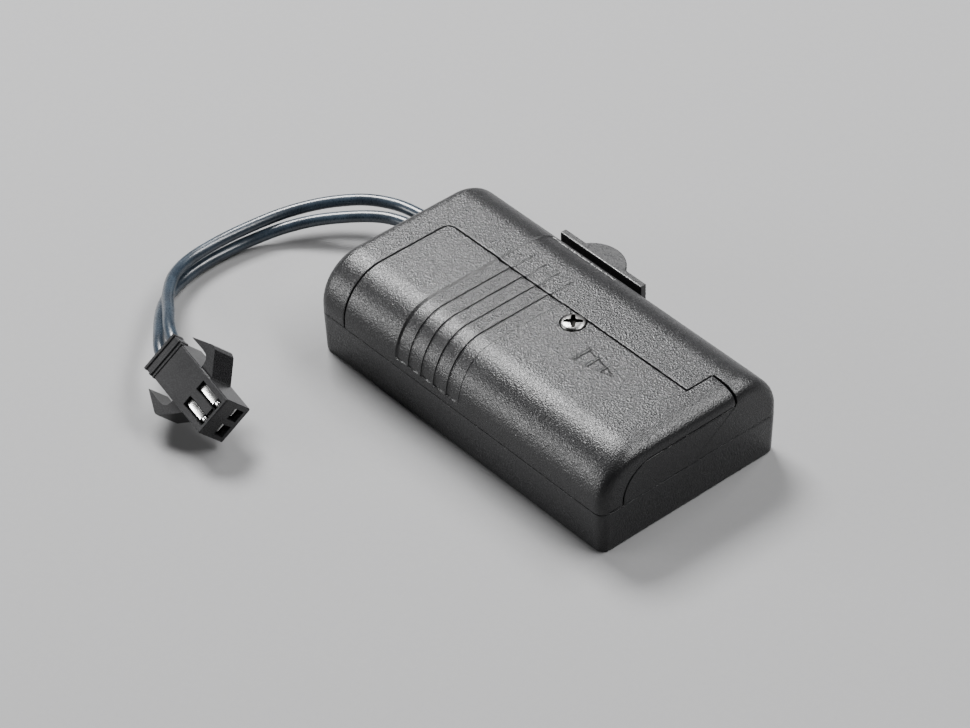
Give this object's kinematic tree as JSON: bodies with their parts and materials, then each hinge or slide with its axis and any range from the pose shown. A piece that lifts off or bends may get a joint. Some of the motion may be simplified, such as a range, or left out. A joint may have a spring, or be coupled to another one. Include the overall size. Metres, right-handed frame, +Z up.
{
  "type": "battery box",
  "caption": "Small rounded battery box with a screw-locked sliding cover, a belt clip and a twin-wire lead ending in a plug.",
  "frame": {"origin": "on the underside, under the middle of the box and its clip together", "axes": "+X along the box, the way the cover slides off; +Y towards the belt clip; +Z up"},
  "size_m": [0.076, 0.0576, 0.0134],
  "materials": {
    "case_plastic": "fine spark texture",
    "clip_plastic": "satin",
    "plug_plastic": "semi-gloss moulded",
    "screw_steel": "bright plated",
    "spring_steel": "nickel plated",
    "tin_plate": "tin plated",
    "solder": "shiny",
    "wire_insulation": "glossy",
    "cell_jacket": "printed sleeve, plain"
  },
  "bodies": {
    "case": {"bottom_tray": "case_plastic", "top_shell": "case_plastic", "battery_cell_1": "cell_jacket", "battery_cell_2": "cell_jacket", "negative_plate": "tin_plate", "positive_plate": "tin_plate", "bridge_plate": "tin_plate", "negative_spring": "spring_steel", "bridge_spring": "spring_steel", "inner_lead": "wire_insulation", "solder_joint_1": "solder", "solder_joint_2": "solder", "lead_wire_1": "wire_insulation", "lead_wire_2": "wire_insulation", "plug_housing": "plug_plastic", "crimp_terminal_1": "tin_plate", "crimp_terminal_2": "tin_plate"},
    "cover": {"sliding_cover": "case_plastic"},
    "screw": {"cover_screw": "screw_steel"},
    "clip": {"belt_clip": "clip_plastic"}
  },
  "joints": [
    {"name": "cover_slide", "type": "slide", "parent": "case", "child": "cover", "axis": [1, 0, 0], "range_m": [0, 0.045]},
    {"name": "screw_lift", "type": "slide", "parent": "cover", "child": "screw", "axis": [0, 0, 1], "range_m": [0, 0.0045]},
    {"name": "clip_flex", "type": "hinge", "parent": "case", "child": "clip", "pos_m": [-0.0059, 0.01325, 0.0009], "axis": [-1, 0, 0], "range_deg": [0, 12], "stiffness_Nm_per_rad": 0.05}
  ],
  "couplings": [
    {"joint": "screw_lift", "follows": "cover_slide", "ratio": 0.1}
  ]
}
